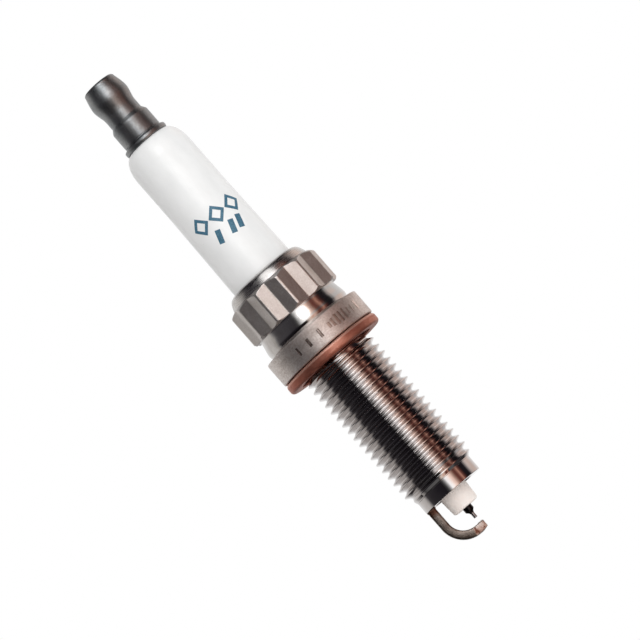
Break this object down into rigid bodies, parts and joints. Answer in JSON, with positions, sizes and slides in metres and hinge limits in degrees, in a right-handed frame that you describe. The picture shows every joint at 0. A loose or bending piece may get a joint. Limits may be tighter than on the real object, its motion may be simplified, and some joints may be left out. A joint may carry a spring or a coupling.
{
  "type": "spark plug",
  "caption": "Long-reach M12 spark plug with a twelve-point hexagon, a glazed white insulator, a solid terminal, a captive copper gasket and a fine-wire iridium electrode.",
  "frame": {"origin": "centre of the gasket's lower face, the plane that seals on the cylinder head", "axes": "+Z along the plug's axis towards the terminal, -X towards the ground electrode's leg"},
  "size_m": [0.0166, 0.0166, 0.0857],
  "materials": {
    "nickel_plated_steel": "bright nickel plating",
    "copper_sheet": "satin copper",
    "glazed_alumina": "clear glaze on white",
    "dark_steel": "dark satin",
    "glass_seal": "copper powder in glass",
    "resistor_glass": "matte",
    "nickel_alloy": "satin",
    "copper_core": "drawn copper",
    "iridium": "satin",
    "platinum": "polished",
    "steel_wire": "drawn wire",
    "talc": "pressed powder"
  },
  "bodies": {
    "plug": {"shell": "nickel_plated_steel", "insulator": "glazed_alumina", "terminal_stud": "dark_steel", "upper_glass_seal": "glass_seal", "resistor": "resistor_glass", "lower_glass_seal": "glass_seal", "center_electrode_sheath": "nickel_alloy", "center_electrode_core": "copper_core", "iridium_tip": "iridium", "ground_electrode": "nickel_alloy", "ground_electrode_pad": "platinum", "upper_ring_packing": "steel_wire", "talc_filling": "talc", "lower_ring_packing": "steel_wire", "seat_packing": "dark_steel"},
    "gasket_ring": {"gasket": "copper_sheet"}
  },
  "joints": [
    {"name": "gasket_spin", "type": "hinge", "parent": "plug", "child": "gasket_ring", "pos_m": [0, 0, 0.0008], "axis": [0, 0, 1], "continuous": true}
  ]
}
